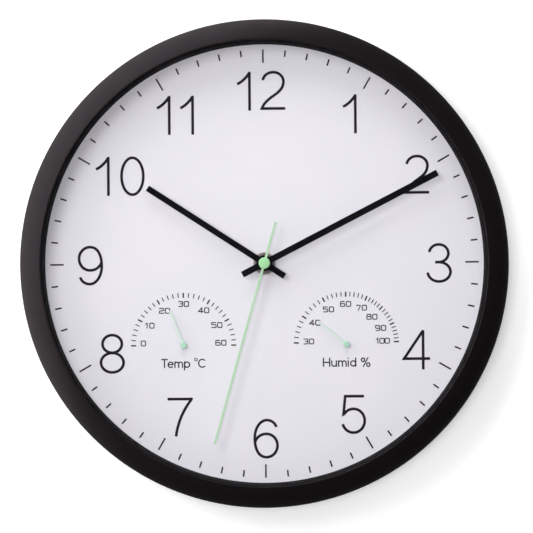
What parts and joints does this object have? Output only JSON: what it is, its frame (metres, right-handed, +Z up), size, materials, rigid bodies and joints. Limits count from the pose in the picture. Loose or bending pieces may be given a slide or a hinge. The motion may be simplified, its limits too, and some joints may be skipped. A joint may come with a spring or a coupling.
{
  "type": "wall clock with thermometer and hygrometer",
  "caption": "Round quartz wall clock with a wide bezel, glass, bar hands, and thermometer and hygrometer pointers low on its dial.",
  "frame": {"origin": "the seat of the nail at the top of the keyhole slot, on the plane of the wall", "axes": "+Z up, +Y into the wall, so the dial faces -Y and +X is to the right of someone who reads it"},
  "size_m": [0.3, 0.0427, 0.3],
  "materials": {
    "black_plastic": "satin",
    "dark_plastic": "matte",
    "clear_glass": "gloss",
    "dial_sheet": "matte",
    "black_hand": "satin",
    "green_hand": "satin",
    "green_cap": "satin",
    "pale_pointer": "matte",
    "brass": "satin",
    "steel": "satin",
    "washer_steel": "satin",
    "white_nylon": "satin",
    "knob_nylon": "satin",
    "rubber": "matte",
    "copper": "satin",
    "magnet": "satin",
    "board": "satin",
    "battery_sleeve": "satin"
  },
  "bodies": {
    "case": {"front_frame": "black_plastic", "glass_lens": "clear_glass", "spacer_ring": "black_plastic", "dial": "dial_sheet", "back_cover": "dark_plastic", "case_screw_1": "steel", "case_screw_2": "steel", "case_screw_3": "steel", "case_screw_4": "steel", "case_screw_5": "steel", "case_screw_6": "steel", "movement_housing": "dark_plastic", "movement_cover": "dark_plastic", "threaded_bush": "brass", "washer": "washer_steel", "hex_nut": "brass", "rubber_gasket": "rubber", "stator_plate": "steel", "coil_core": "steel", "coil_bobbin": "white_nylon", "coil_winding": "copper", "circuit_board": "board", "clock_chip": "dark_plastic", "quartz_crystal": "steel", "battery_contact_positive": "steel", "battery_contact_negative": "steel", "thermo_housing": "dark_plastic", "thermo_coil": "brass", "hygro_housing": "dark_plastic", "hygro_coil": "copper"},
    "minute": {"minute_pipe": "brass", "minute_hand": "black_hand"},
    "hour": {"hour_wheel": "white_nylon", "hour_hand": "black_hand"},
    "motion": {"motion_wheel": "white_nylon"},
    "setting": {"setting_pinion": "white_nylon", "time_set_knob": "knob_nylon"},
    "second": {"second_wheel": "white_nylon", "second_hand": "green_hand", "second_hand_cap": "green_cap"},
    "fifth": {"fifth_wheel": "white_nylon"},
    "rotor": {"rotor_pinion": "white_nylon", "rotor_magnet": "magnet"},
    "third": {"third_wheel": "white_nylon"},
    "centre": {"centre_wheel": "white_nylon"},
    "thermo_needle": {"thermo_spindle": "steel", "thermo_pointer": "pale_pointer"},
    "hygro_needle": {"hygro_spindle": "steel", "hygro_pointer": "pale_pointer"},
    "cell": {"battery": "battery_sleeve"}
  },
  "joints": [
    {"name": "minute_spin", "type": "hinge", "parent": "case", "child": "minute", "pos_m": [0, -0.026, -0.11], "axis": [0, 1, 0], "continuous": true},
    {"name": "hour_spin", "type": "hinge", "parent": "case", "child": "hour", "pos_m": [0, -0.027, -0.11], "axis": [0, 1, 0], "continuous": true},
    {"name": "motion_spin", "type": "hinge", "parent": "case", "child": "motion", "pos_m": [-0.00406, -0.0215, -0.1013], "axis": [0, 1, 0], "continuous": true},
    {"name": "setting_spin", "type": "hinge", "parent": "case", "child": "setting", "pos_m": [0.00074, -0.014, -0.09299], "axis": [0, 1, 0], "continuous": true},
    {"name": "second_spin", "type": "hinge", "parent": "case", "child": "second", "pos_m": [0, -0.022, -0.11], "axis": [0, 1, 0], "continuous": true},
    {"name": "fifth_spin", "type": "hinge", "parent": "case", "child": "fifth", "pos_m": [-0.01105, -0.017, -0.10598], "axis": [0, 1, 0], "continuous": true},
    {"name": "rotor_spin", "type": "hinge", "parent": "case", "child": "rotor", "pos_m": [-0.01609, -0.016, -0.09725], "axis": [0, 1, 0], "continuous": true},
    {"name": "third_spin", "type": "hinge", "parent": "case", "child": "third", "pos_m": [0.01081, -0.017, -0.10607], "axis": [0, 1, 0], "continuous": true},
    {"name": "centre_spin", "type": "hinge", "parent": "case", "child": "centre", "pos_m": [0, -0.018, -0.11], "axis": [0, 1, 0], "continuous": true},
    {"name": "thermo_needle_spin", "type": "hinge", "parent": "case", "child": "thermo_needle", "pos_m": [-0.05, -0.022, -0.1601], "axis": [0, 1, 0], "range_deg": [-68.8, 111.2], "stiffness_Nm_per_rad": 0.0003},
    {"name": "hygro_needle_spin", "type": "hinge", "parent": "case", "child": "hygro_needle", "pos_m": [0.05, -0.022, -0.1601], "axis": [0, 1, 0], "range_deg": [-39.8, 140.2], "stiffness_Nm_per_rad": 0.0003},
    {"name": "battery_slide", "type": "slide", "parent": "case", "child": "cell", "axis": [0, 1, 0], "range_m": [0, 0.025]}
  ],
  "couplings": [
    {"joint": "hour_spin", "follows": "minute_spin", "ratio": 0.083333},
    {"joint": "motion_spin", "follows": "minute_spin", "ratio": -0.33333},
    {"joint": "setting_spin", "follows": "minute_spin", "ratio": 1},
    {"joint": "fifth_spin", "follows": "second_spin", "ratio": -6},
    {"joint": "rotor_spin", "follows": "second_spin", "ratio": 30},
    {"joint": "third_spin", "follows": "second_spin", "ratio": -0.13333},
    {"joint": "centre_spin", "follows": "second_spin", "ratio": 0.016667}
  ]
}
